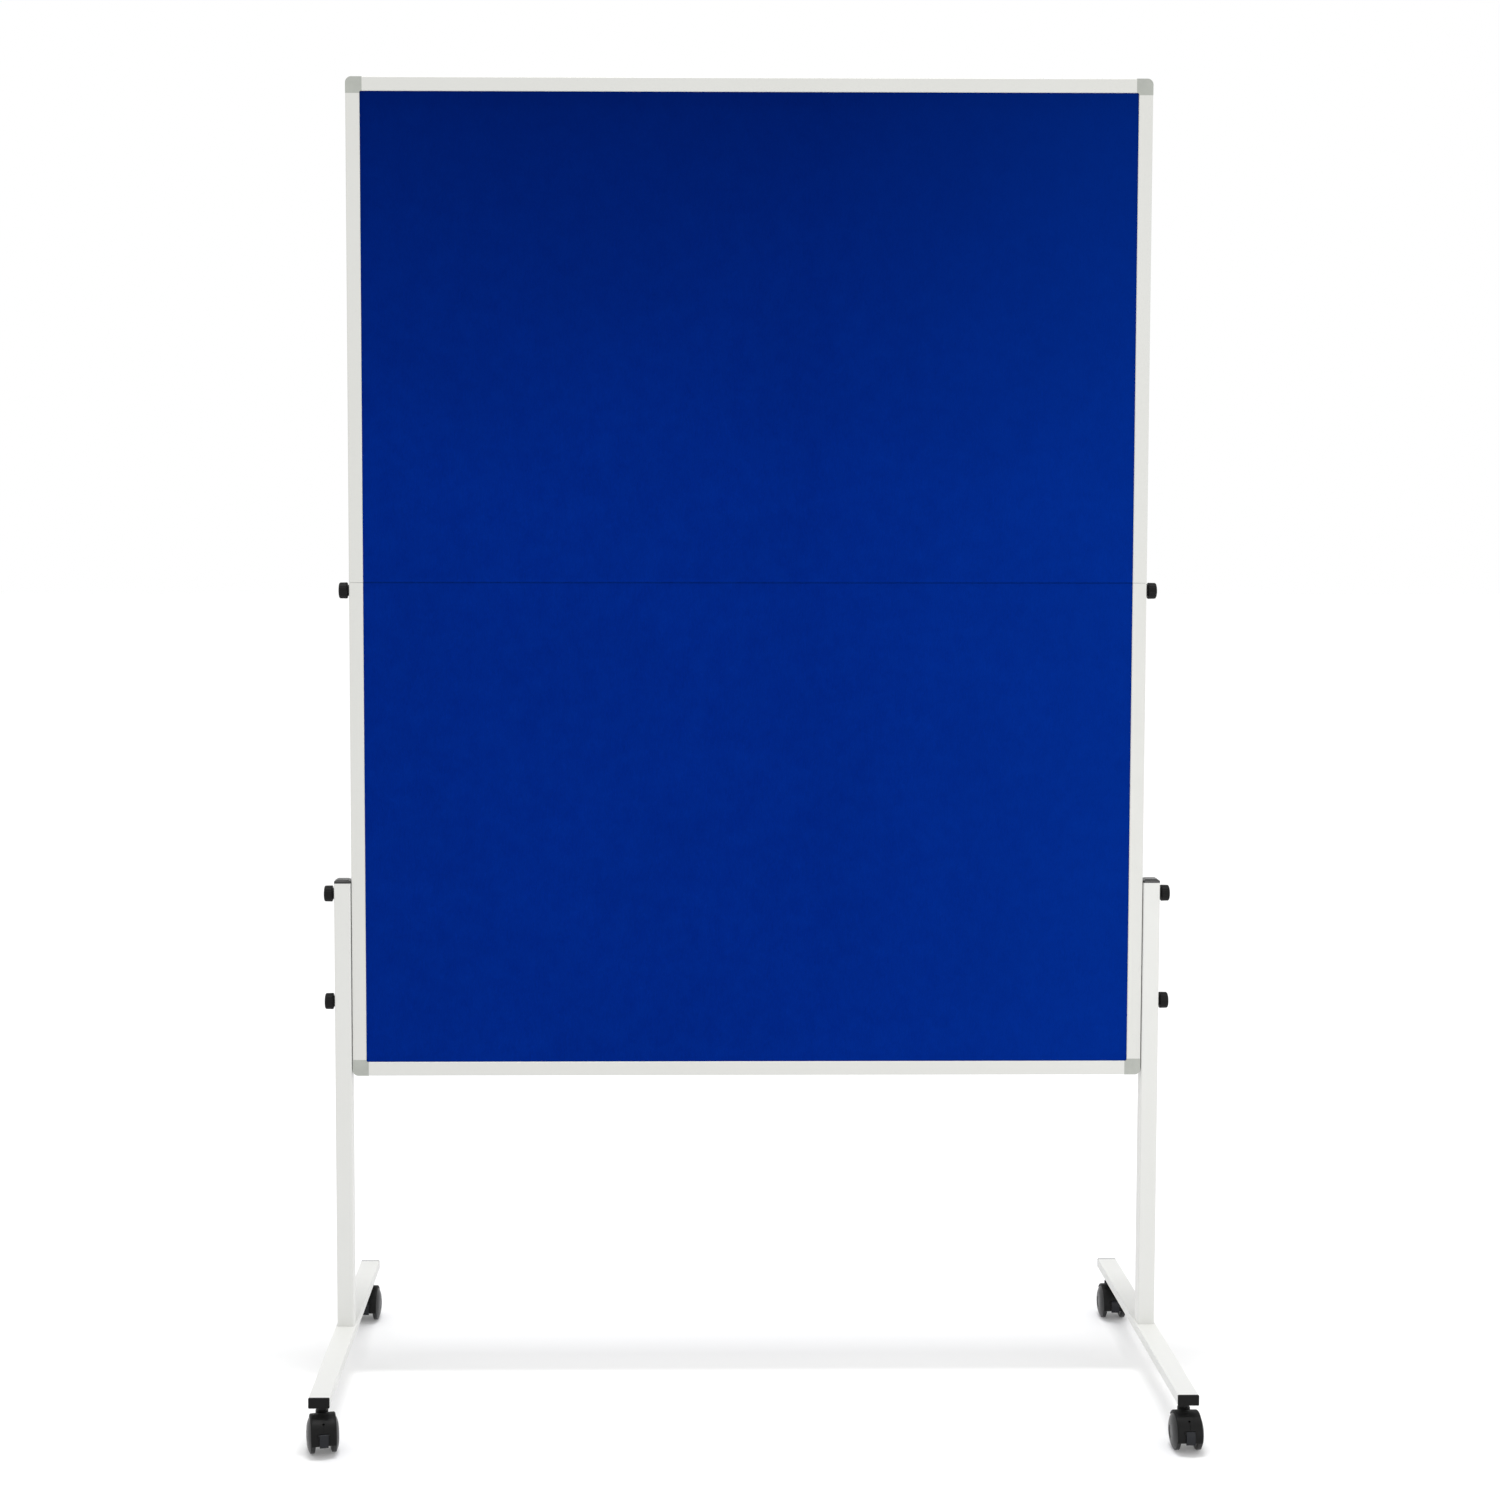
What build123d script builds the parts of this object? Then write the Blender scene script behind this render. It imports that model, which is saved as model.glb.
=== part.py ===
"""Rolling pin board: a felt board that folds in half, clamped between two castor legs.

Frame: +X to the right, +Z up, the board's front looks along -Y, and the origin is on the
floor midway between the legs. All sizes are in millimetres.
"""

from build123d import *

import os
from math import cos, radians, sin

os.makedirs("parts", exist_ok=True)

# Board
BOARD_WIDTH = 1200.0
BOARD_HEIGHT = 1500.0
BOARD_BOTTOM = 470.0
FRAME_DEPTH = 20.0
RAIL_FACE = 21.0
CORNER_SIZE = 24.5
CORNER_RADIUS = 9.0
CORE_THICKNESS = 12.0
FELT_THICKNESS = 2.0
HALF_FOLD_GAP = 0.2
FIT_GAP = 0.1
SLIDE_GAP = 0.3

# Rail extrusion, measured inwards from the board's outer edge
GROOVE_LIP = 2.5
GROOVE_MOUTH = 7.0
CHAMBER_DEPTH = 6.5
CHAMBER_WIDTH = 13.0
POCKET_DEPTH = 10.0

# Stand
TUBE_WALL = 1.5
POST_SIZE = 25.0
POST_GAP = 1.0
POST_TOP = 765.0
FOOT_WIDTH = 30.0
FOOT_HEIGHT = 15.0
FOOT_TOP = 82.0
FOOT_LENGTH = 573.0
CAP_THICKNESS = 3.0
FOOT_SCREW_SPACING = 14.0

# Clamp knobs and fold knobs, all one moulding
UPPER_CLAMP_DROP = 17.0
CLAMP_SPACING = 165.0
FOLD_KNOB_DROP = 12.0
KNOB_RADIUS = 12.25
KNOB_HEIGHT = 16.0
COLLAR_RADIUS = 8.25
COLLAR_HEIGHT = 3.3
KNOB_BORE_DEPTH = 11.0
KNOB_LOBES = 12
THREAD_RADIUS = 3.0
RUNNING_GAP = 0.05
CLEARANCE_HOLE = 3.3

# Hinges behind the side rails
HINGE_WIDTH = 18.0
HINGE_LEAF_HEIGHT = 42.0
HINGE_LEAF = 1.5
HINGE_AXIS_BEHIND = 2.6
KNUCKLE_RADIUS = 2.3
PIN_RADIUS = 1.3
RIVET_RADIUS = 1.6
RIVET_DROPS = (14.0, 32.0)

# Castors
CASTOR_Y = 260.0
CASTOR_TRAIL = 16.0
WHEEL_RADIUS = 25.0
WHEEL_INNER = 11.0
WHEEL_OUTER = 22.5
HOOD_RADIUS = 29.2
FENDER_INNER = 26.2
WEB_HALF = 10.3
FENDER_HALF = 18.2
HOOD_EDGE = 18.7
BOSS_RADIUS = 9.0
BOSS_TOP = 54.5
STEM_RADIUS = 5.0
STEM_BOTTOM = 36.0
AXLE_RADIUS = 3.0
AXLE_HALF = 20.0
PEDAL_ANGLE = 16.0
PEDAL_END_ANGLE = -15.0
PEDAL_HALF = 6.2
PEDAL_THICKNESS = 2.2
PEDAL_BARREL = 2.3
PEDAL_TRUNNION = 1.1
PEDAL_EAR = 1.6
CASTORS = {
    "front_left": (-1, -1, 12.0),
    "front_right": (1, -1, 0.0),
    "rear_left": (-1, 1, 0.0),
    "rear_right": (1, 1, 0.0),
}

# Worked out from the above
EDGE = BOARD_WIDTH / 2
BOARD_TOP = BOARD_BOTTOM + BOARD_HEIGHT
FOLD = BOARD_BOTTOM + BOARD_HEIGHT / 2
CORE_HALF = CORE_THICKNESS / 2
SANDWICH_HALF = CORE_HALF + FELT_THICKNESS
POCKET_WIDTH = 2 * (SANDWICH_HALF + FIT_GAP)
CHAMBER_CENTRE = EDGE - GROOVE_LIP - CHAMBER_DEPTH / 2
INFILL_EDGE = RAIL_FACE - POCKET_DEPTH + 0.4
INFILL_HALF_WIDTH = EDGE - INFILL_EDGE
SLIDER_WIDTH = CHAMBER_WIDTH - 2 * SLIDE_GAP
SLIDER_DEPTH = CHAMBER_DEPTH - 2 * SLIDE_GAP
POST_X = EDGE + POST_GAP + POST_SIZE / 2
POST_FACE = POST_X + POST_SIZE / 2
FOOT_BOTTOM = FOOT_TOP - FOOT_HEIGHT
FOOT_MIDDLE = FOOT_TOP - FOOT_HEIGHT / 2
FOOT_END = FOOT_LENGTH / 2
UPPER_CLAMP_Z = POST_TOP - UPPER_CLAMP_DROP
LOWER_CLAMP_Z = UPPER_CLAMP_Z - CLAMP_SPACING
FOLD_KNOB_Z = FOLD - FOLD_KNOB_DROP
HINGE_Y = FRAME_DEPTH / 2 + HINGE_AXIS_BEHIND
HINGE_X = EDGE - 1.0 - HINGE_WIDTH / 2
SIDES = {"left": -1, "right": 1}


def write(piece, node):
    """Label a finished piece and write it as its own STEP file."""
    piece.part.label = node
    export_step(piece.part, f"parts/{node}.step")


def rail(origin, inward, along, length, grooved, rivet_holes=()):
    """Extrude one framing rail; its section starts at the outer face and grows inwards."""
    with BuildPart() as piece:
        with BuildSketch(Plane(origin=origin, x_dir=inward, z_dir=along)) as section:
            with Locations((RAIL_FACE / 2, 0)):
                Rectangle(RAIL_FACE, FRAME_DEPTH)
            chamfer(section.vertices().group_by(Axis.X)[-1], length=0.8)
            fillet(section.vertices().group_by(Axis.X)[0], radius=1.5)
            with Locations((RAIL_FACE - POCKET_DEPTH / 2, 0)):
                Rectangle(POCKET_DEPTH, POCKET_WIDTH, mode=Mode.SUBTRACT)
            with Locations((GROOVE_LIP + CHAMBER_DEPTH / 2, 0)):
                Rectangle(CHAMBER_DEPTH, CHAMBER_WIDTH, mode=Mode.SUBTRACT)
            if grooved:
                with Locations((GROOVE_LIP / 2, 0)):
                    Rectangle(GROOVE_LIP, GROOVE_MOUTH, mode=Mode.SUBTRACT)
        extrude(amount=length)
        if rivet_holes:
            with BuildSketch(Plane.XZ.offset(-FRAME_DEPTH / 2)):
                with Locations(*rivet_holes):
                    Circle(RIVET_RADIUS + RUNNING_GAP)
            wall = (FRAME_DEPTH - CHAMBER_WIDTH) / 2
            extrude(amount=wall, mode=Mode.SUBTRACT)
    return piece


def corner_piece(side, end):
    """Plastic corner: rounded outside, pocketed for the board, with a tongue for each rail."""
    outer_z = BOARD_TOP if end > 0 else BOARD_BOTTOM
    middle = CORNER_SIZE / 2
    notch = CORNER_SIZE - RAIL_FACE
    pocket = CORNER_SIZE - (RAIL_FACE - POCKET_DEPTH)
    tongue_length = 20.0
    tongue_centre = GROOVE_LIP + CHAMBER_DEPTH / 2
    tongue_depth = CHAMBER_DEPTH - 0.4
    tongue_width = CHAMBER_WIDTH - 0.4
    corner = Vector(side * EDGE, 0, outer_z)
    plane = Plane(origin=corner, x_dir=(-side, 0, 0), z_dir=(0, -side * end, 0))
    with BuildPart() as piece:
        with BuildSketch(plane) as outline:
            with Locations((middle, middle)):
                Rectangle(CORNER_SIZE, CORNER_SIZE)
            with Locations((CORNER_SIZE - notch / 2, CORNER_SIZE - notch / 2)):
                Rectangle(notch, notch, mode=Mode.SUBTRACT)
            outer_vertex = outline.vertices().sort_by_distance((0, 0, 0))[0]
            fillet(outer_vertex, radius=CORNER_RADIUS)
            inner_vertex = outline.vertices().sort_by_distance((RAIL_FACE, RAIL_FACE, 0))[0]
            fillet(inner_vertex, radius=2.5)
        extrude(amount=FRAME_DEPTH / 2, both=True)
        with BuildSketch(plane):
            with Locations((CORNER_SIZE - pocket / 2, CORNER_SIZE - pocket / 2)):
                Rectangle(pocket, pocket)
        extrude(amount=POCKET_WIDTH / 2, both=True, mode=Mode.SUBTRACT)
        with BuildSketch(plane):
            reach = CORNER_SIZE + tongue_length / 2
            with Locations((tongue_centre, reach)):
                Rectangle(tongue_depth, tongue_length)
            with Locations((reach, tongue_centre)):
                Rectangle(tongue_length, tongue_depth)
        extrude(amount=tongue_width / 2, both=True)
    return piece


def core_board(low, high):
    """Plain core board that the felts are glued to."""
    with BuildPart() as piece:
        with BuildSketch(Plane.XY.offset(low)):
            Rectangle(2 * INFILL_HALF_WIDTH, CORE_THICKNESS)
        extrude(amount=high - low)
    return piece


def felt_sheet(face, low, high, return_end):
    """Felt on one face, turned over half of the core's edge at the fold."""
    returned = CORE_HALF - FIT_GAP
    with BuildPart() as piece:
        with BuildSketch(Plane.XY.offset(low)):
            with Locations((0, face * (CORE_HALF + FELT_THICKNESS / 2))):
                Rectangle(2 * INFILL_HALF_WIDTH, FELT_THICKNESS)
        extrude(amount=high - low)
        turn_low = high - FELT_THICKNESS if return_end > 0 else low
        with BuildSketch(Plane.XY.offset(turn_low)):
            with Locations((0, face * (CORE_HALF - returned / 2))):
                Rectangle(2 * INFILL_HALF_WIDTH, returned)
        extrude(amount=FELT_THICKNESS)
    return piece


def hinge_leaves(end, knuckles):
    """Both sides' leaves: plate, notched round the other leaf's knuckles, and its own knuckles."""
    free = KNUCKLE_RADIUS + 0.4
    back = FRAME_DEPTH / 2
    with BuildPart() as piece:
        for side in SIDES.values():
            with BuildSketch(Plane.XZ.offset(-back)):
                with Locations((side * HINGE_X, FOLD + end * (free + HINGE_LEAF_HEIGHT) / 2)):
                    Rectangle(HINGE_WIDTH, HINGE_LEAF_HEIGHT - free)
                for start, width in knuckles:
                    middle = side * (HINGE_X - HINGE_WIDTH / 2 + start + width / 2)
                    with Locations((middle, FOLD + end * free / 2)):
                        Rectangle(width, free)
            extrude(amount=-HINGE_LEAF)
            for start, width in knuckles:
                near = HINGE_X - HINGE_WIDTH / 2 + start
                with BuildSketch(Plane.YZ.offset(side * near)):
                    with Locations((HINGE_Y, FOLD)):
                        Circle(KNUCKLE_RADIUS)
                extrude(amount=side * width)
            with BuildSketch(Plane.YZ.offset(side * (HINGE_X - HINGE_WIDTH / 2))):
                with Locations((HINGE_Y, FOLD)):
                    Circle(PIN_RADIUS + RUNNING_GAP)
            extrude(amount=side * HINGE_WIDTH, mode=Mode.SUBTRACT)
            with BuildSketch(Plane.XZ.offset(-back)):
                with Locations(*[(side * CHAMBER_CENTRE, FOLD + end * d) for d in RIVET_DROPS]):
                    Circle(RIVET_RADIUS + RUNNING_GAP)
            extrude(amount=-HINGE_LEAF, mode=Mode.SUBTRACT)
    return piece


def hinge_rivets(end):
    """Four blind rivets with low round heads, through the leaves into the rails."""
    shank_start = FRAME_DEPTH / 2 - 3.2
    head_face = FRAME_DEPTH / 2 + HINGE_LEAF
    head_height = 0.8
    centres = [
        (side * CHAMBER_CENTRE, FOLD + end * drop)
        for side in SIDES.values()
        for drop in RIVET_DROPS
    ]
    with BuildPart() as piece:
        with BuildSketch(Plane.XZ.offset(-shank_start)):
            with Locations(*centres):
                Circle(RIVET_RADIUS)
        extrude(amount=shank_start - head_face)
        with BuildSketch(Plane.XZ.offset(-head_face)):
            with Locations(*centres):
                Circle(2.8)
        extrude(amount=-head_height)
        rims = piece.edges().group_by(Axis.Y)[-1]
        fillet(rims, radius=0.5)
    return piece


def knob(side, face, height):
    """Lobed knob on the X axis at one height, its collar just clear of the given face."""
    plane = Plane(origin=(side * face, 0, height), x_dir=(side, 0, 0), z_dir=(0, -side, 0))
    bore = THREAD_RADIUS + RUNNING_GAP
    with BuildPart() as piece:
        with BuildSketch(plane):
            with BuildLine():
                Polyline(
                    (KNOB_BORE_DEPTH, 0),
                    (KNOB_BORE_DEPTH, bore),
                    (SLIDE_GAP, bore),
                    (SLIDE_GAP, COLLAR_RADIUS),
                    (COLLAR_HEIGHT, COLLAR_RADIUS),
                    (COLLAR_HEIGHT, KNOB_RADIUS - 0.8),
                    (COLLAR_HEIGHT + 0.8, KNOB_RADIUS),
                    (KNOB_HEIGHT - 2.6, KNOB_RADIUS - 0.2),
                )
                ThreePointArc(
                    (KNOB_HEIGHT - 2.6, KNOB_RADIUS - 0.2),
                    (KNOB_HEIGHT - 1.0, KNOB_RADIUS - 0.9),
                    (KNOB_HEIGHT - 0.4, KNOB_RADIUS - 2.4),
                )
                Polyline(
                    (KNOB_HEIGHT - 0.4, KNOB_RADIUS - 2.4),
                    (KNOB_HEIGHT, KNOB_RADIUS - 5.0),
                    (KNOB_HEIGHT, 0),
                    (KNOB_BORE_DEPTH, 0),
                )
            make_face()
        revolve(axis=Axis((side * face, 0, height), (side, 0, 0)))
        start = Plane(origin=(side * (face + COLLAR_HEIGHT), 0, height), z_dir=(side, 0, 0))
        with BuildSketch(start):
            with PolarLocations(KNOB_RADIUS + 1.1, KNOB_LOBES):
                Circle(1.7)
        extrude(amount=KNOB_HEIGHT, mode=Mode.SUBTRACT)
    return piece


def slider_with_stud(places, length):
    """Sliders in the rail groove, each with a threaded stud out through the mouth."""
    with BuildPart() as piece:
        for side, low, stud_z, stud_end in places:
            with Locations((side * CHAMBER_CENTRE, 0, low + length / 2)):
                Box(SLIDER_DEPTH, SLIDER_WIDTH, length)
            with BuildSketch(Plane.YZ.offset(side * CHAMBER_CENTRE)):
                with Locations((0, stud_z)):
                    Circle(THREAD_RADIUS)
            extrude(amount=side * (stud_end - CHAMBER_CENTRE))
    return piece


# ---------------------------------------------------------------- board panels
rivet_places = {
    end: {s: [(s * CHAMBER_CENTRE, FOLD + end * d) for d in RIVET_DROPS] for s in (-1, 1)}
    for end in (-1, 1)
}
lower_rail_start = BOARD_BOTTOM + CORNER_SIZE
upper_rail_start = FOLD + HALF_FOLD_GAP
side_rail_length = BOARD_HEIGHT / 2 - CORNER_SIZE - HALF_FOLD_GAP
cross_rail_length = BOARD_WIDTH - 2 * CORNER_SIZE

for name, side in SIDES.items():
    inward = (-side, 0, 0)
    start = (side * EDGE, 0, lower_rail_start)
    lower_rail = rail(start, inward, (0, 0, 1), side_rail_length, True, rivet_places[-1][side])
    write(lower_rail, f"lower_{name}_rail")
    start = (side * EDGE, 0, upper_rail_start)
    upper_rail = rail(start, inward, (0, 0, 1), side_rail_length, True, rivet_places[1][side])
    write(upper_rail, f"upper_{name}_rail")
    write(corner_piece(side, -1), f"bottom_{name}_corner")
    write(corner_piece(side, 1), f"top_{name}_corner")

cross_start = -cross_rail_length / 2
bottom_rail = rail((cross_start, 0, BOARD_BOTTOM), (0, 0, 1), (1, 0, 0), cross_rail_length, False)
write(bottom_rail, "bottom_rail")
top_rail = rail((cross_start, 0, BOARD_TOP), (0, 0, -1), (1, 0, 0), cross_rail_length, False)
write(top_rail, "top_rail")

infill_low = BOARD_BOTTOM + INFILL_EDGE
infill_high = BOARD_TOP - INFILL_EDGE
felt_edge = HALF_FOLD_GAP
core_edge = HALF_FOLD_GAP + FELT_THICKNESS
write(core_board(infill_low, FOLD - core_edge), "lower_core")
write(core_board(FOLD + core_edge, infill_high), "upper_core")
for name, face in {"front": -1, "back": 1}.items():
    write(felt_sheet(face, infill_low, FOLD - felt_edge, 1), f"lower_{name}_felt")
    write(felt_sheet(face, FOLD + felt_edge, infill_high, -1), f"upper_{name}_felt")

# ---------------------------------------------------------------- hinges
knuckle = HINGE_WIDTH / 3
outer_knuckles = [(0.0, knuckle - 0.15), (2 * knuckle + 0.15, knuckle - 0.15)]
middle_knuckle = [(knuckle + 0.15, knuckle - 0.3)]
write(hinge_leaves(-1, outer_knuckles), "hinge_lower_leaves")
write(hinge_leaves(1, middle_knuckle), "hinge_upper_leaves")
write(hinge_rivets(-1), "hinge_lower_rivets")
write(hinge_rivets(1), "hinge_upper_rivets")

pin_head = 0.7
with BuildPart() as hinge_pins:
    for side in SIDES.values():
        near = HINGE_X - HINGE_WIDTH / 2 - pin_head
        with BuildSketch(Plane.YZ.offset(side * near)):
            with Locations((HINGE_Y, FOLD)):
                Circle(PIN_RADIUS)
        extrude(amount=side * (HINGE_WIDTH + 2 * pin_head))
        for head_start in (near, HINGE_X + HINGE_WIDTH / 2):
            with BuildSketch(Plane.YZ.offset(side * head_start)):
                with Locations((HINGE_Y, FOLD)):
                    Circle(PIN_RADIUS + 0.7)
            extrude(amount=side * pin_head)
write(hinge_pins, "hinge_pins")

# ---------------------------------------------------------------- fold locks and clamps
lock_length = 75.0
lock_low = FOLD - HALF_FOLD_GAP - 0.5 - lock_length
for name, side in SIDES.items():
    stud_end = EDGE + KNOB_BORE_DEPTH - 1.0
    lock_bar = slider_with_stud([(side, lock_low, FOLD_KNOB_Z, stud_end)], lock_length)
    write(lock_bar, f"{name}_lock_bar")
    write(knob(side, EDGE, FOLD_KNOB_Z), f"{name}_fold_knob")
    write(knob(side, POST_FACE, UPPER_CLAMP_Z), f"{name}_upper_clamp_knob")
    write(knob(side, POST_FACE, LOWER_CLAMP_Z), f"{name}_lower_clamp_knob")

head_length = 20.0
bolt_end = POST_FACE + KNOB_BORE_DEPTH - 1.0
bolt_places = [
    (side, z - head_length / 2, z, bolt_end)
    for side in SIDES.values()
    for z in (LOWER_CLAMP_Z, UPPER_CLAMP_Z)
]
write(slider_with_stud(bolt_places, head_length), "clamp_bolts")

# ---------------------------------------------------------------- posts and feet
inside_foot = FOOT_TOP - TUBE_WALL
screw_ys = (-FOOT_SCREW_SPACING / 2, FOOT_SCREW_SPACING / 2)
for name, side in SIDES.items():
    with BuildPart() as post:
        with BuildSketch(Plane.XY.offset(FOOT_TOP)):
            with Locations((side * POST_X, 0)):
                RectangleRounded(POST_SIZE, POST_SIZE, 2.0)
                inner = POST_SIZE - 2 * TUBE_WALL
                RectangleRounded(inner, inner, 0.6, mode=Mode.SUBTRACT)
        extrude(amount=POST_TOP - FOOT_TOP)
        with BuildSketch(Plane.YZ.offset(side * (POST_X - POST_SIZE / 2))):
            with Locations((0, LOWER_CLAMP_Z), (0, UPPER_CLAMP_Z)):
                Circle(CLEARANCE_HOLE)
        extrude(amount=side * POST_SIZE, mode=Mode.SUBTRACT)
    write(post, f"{name}_post")

    with BuildPart() as foot:
        with BuildSketch(Plane.XZ):
            with Locations((side * POST_X, FOOT_MIDDLE)):
                RectangleRounded(FOOT_WIDTH, FOOT_HEIGHT, 1.5)
                RectangleRounded(
                    FOOT_WIDTH - 2 * TUBE_WALL,
                    FOOT_HEIGHT - 2 * TUBE_WALL,
                    0.5,
                    mode=Mode.SUBTRACT,
                )
        extrude(amount=FOOT_END, both=True)
        with BuildSketch(Plane.XY.offset(inside_foot)):
            with Locations(*[(side * POST_X, y) for y in screw_ys]):
                Circle(CLEARANCE_HOLE)
        extrude(amount=TUBE_WALL, mode=Mode.SUBTRACT)
        with BuildSketch(Plane.XY.offset(FOOT_BOTTOM)):
            with Locations(*[(side * POST_X, y) for y in screw_ys]):
                Circle(5.8)
            with Locations(*[(side * POST_X, end * CASTOR_Y) for end in (-1, 1)]):
                Circle(4.2)
        extrude(amount=TUBE_WALL, mode=Mode.SUBTRACT)
    write(foot, f"{name}_foot")

with BuildPart() as post_caps:
    for side in SIDES.values():
        with BuildSketch(Plane.XY.offset(POST_TOP)):
            with Locations((side * POST_X, 0)):
                RectangleRounded(POST_SIZE, POST_SIZE, 2.0)
        extrude(amount=CAP_THICKNESS)
        with BuildSketch(Plane.XY.offset(POST_TOP + CAP_THICKNESS)):
            with Locations((side * POST_X, 0)):
                RectangleRounded(POST_SIZE, POST_SIZE, 2.0)
        with BuildSketch(Plane.XY.offset(POST_TOP + CAP_THICKNESS + 2.6)):
            with Locations((side * POST_X, 0)):
                RectangleRounded(POST_SIZE - 8.0, POST_SIZE - 8.0, 2.0)
        loft()
        with BuildSketch(Plane.XY.offset(POST_TOP)):
            with Locations((side * POST_X, 0)):
                Rectangle(21.6, 21.6)
                Rectangle(17.6, 17.6, mode=Mode.SUBTRACT)
        extrude(amount=-10.0)
write(post_caps, "post_caps")

with BuildPart() as foot_end_caps:
    for side in SIDES.values():
        for end in (-1, 1):
            face = Plane.XZ.offset(-end * FOOT_END)
            with BuildSketch(face):
                with Locations((side * POST_X, FOOT_MIDDLE)):
                    RectangleRounded(FOOT_WIDTH, FOOT_HEIGHT, 1.5)
            extrude(amount=-end * CAP_THICKNESS)
            with BuildSketch(face):
                with Locations((side * POST_X, FOOT_MIDDLE)):
                    Rectangle(26.4, 11.4)
                    Rectangle(22.4, 7.4, mode=Mode.SUBTRACT)
            extrude(amount=end * 12.0)
    rims = foot_end_caps.edges().filter_by_position(Axis.Y, -FOOT_END - 3.1, -FOOT_END - 2.9)
    fillet(rims, radius=0.8)
    rims = foot_end_caps.edges().filter_by_position(Axis.Y, FOOT_END + 2.9, FOOT_END + 3.1)
    fillet(rims, radius=0.8)
write(foot_end_caps, "foot_end_caps")

with BuildPart() as post_plugs:
    with BuildSketch(Plane.XY.offset(FOOT_TOP)):
        with Locations(*[(side * POST_X, 0) for side in SIDES.values()]):
            Rectangle(21.6, 21.6)
        with Locations(*[(side * POST_X, y) for side in SIDES.values() for y in screw_ys]):
            Circle(THREAD_RADIUS + RUNNING_GAP, mode=Mode.SUBTRACT)
    extrude(amount=20.0)
write(post_plugs, "post_plugs")

screw_head_height = 5.0
with BuildPart() as foot_screws:
    screw_places = [(side * POST_X, y) for side in SIDES.values() for y in screw_ys]
    with BuildSketch(Plane.XY.offset(inside_foot)):
        with Locations(*screw_places):
            Circle(5.0)
    extrude(amount=-screw_head_height)
    with BuildSketch(Plane.XY.offset(inside_foot)):
        with Locations(*screw_places):
            Circle(THREAD_RADIUS)
    extrude(amount=16.0)
    with BuildSketch(Plane.XY.offset(inside_foot - screw_head_height)):
        with Locations(*screw_places):
            RegularPolygon(radius=2.9, side_count=6)
    extrude(amount=2.5, mode=Mode.SUBTRACT)
write(foot_screws, "foot_screws")

# ---------------------------------------------------------------- castors
castor_places = [(x * POST_X, y * CASTOR_Y) for x, y, _ in CASTORS.values()]
stem_steps = [
    (STEM_BOTTOM, STEM_RADIUS, 19.0),
    (STEM_BOTTOM + 19.0, 5.8, 9.5),
    (STEM_BOTTOM + 28.5, 7.5, 2.5),
    (FOOT_BOTTOM, 4.0, 9.5),
]
with BuildPart() as castor_stems:
    for low, radius, height in stem_steps:
        with BuildSketch(Plane.XY.offset(low)):
            with Locations(*castor_places):
                Circle(radius)
        extrude(amount=height)
    chamfer(castor_stems.edges().group_by(Axis.Z)[0], length=0.8)
    chamfer(castor_stems.edges().group_by(Axis.Z)[-1], length=0.6)
write(castor_stems, "castor_stems")

with BuildPart() as castor_nuts:
    with BuildSketch(Plane.XY.offset(FOOT_BOTTOM + TUBE_WALL)):
        with Locations(*castor_places):
            RegularPolygon(radius=7.5, side_count=6)
            Circle(4.05, mode=Mode.SUBTRACT)
    extrude(amount=6.4)
write(castor_nuts, "castor_nuts")

wheel_centre = (-CASTOR_TRAIL, WHEEL_RADIUS)


def hood_point(radius, degrees):
    """Point at a radius and an angle above the trailing side, on the castor's YZ plane."""
    angle = radians(degrees)
    return (wheel_centre[0] - radius * cos(angle), wheel_centre[1] + radius * sin(angle))


def wedge(low, high):
    """Triangle from the wheel centre that spans two angles, for cutting a ring to an arc."""
    far = 2 * HOOD_RADIUS
    corners = [wheel_centre, hood_point(far, low), hood_point(far, high)]
    return Polygon(*corners, align=None, mode=Mode.INTERSECT)


pedal_axis = hood_point(HOOD_RADIUS + 0.4, PEDAL_ANGLE)
pedal_recess = PEDAL_HALF + SLIDE_GAP

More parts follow.
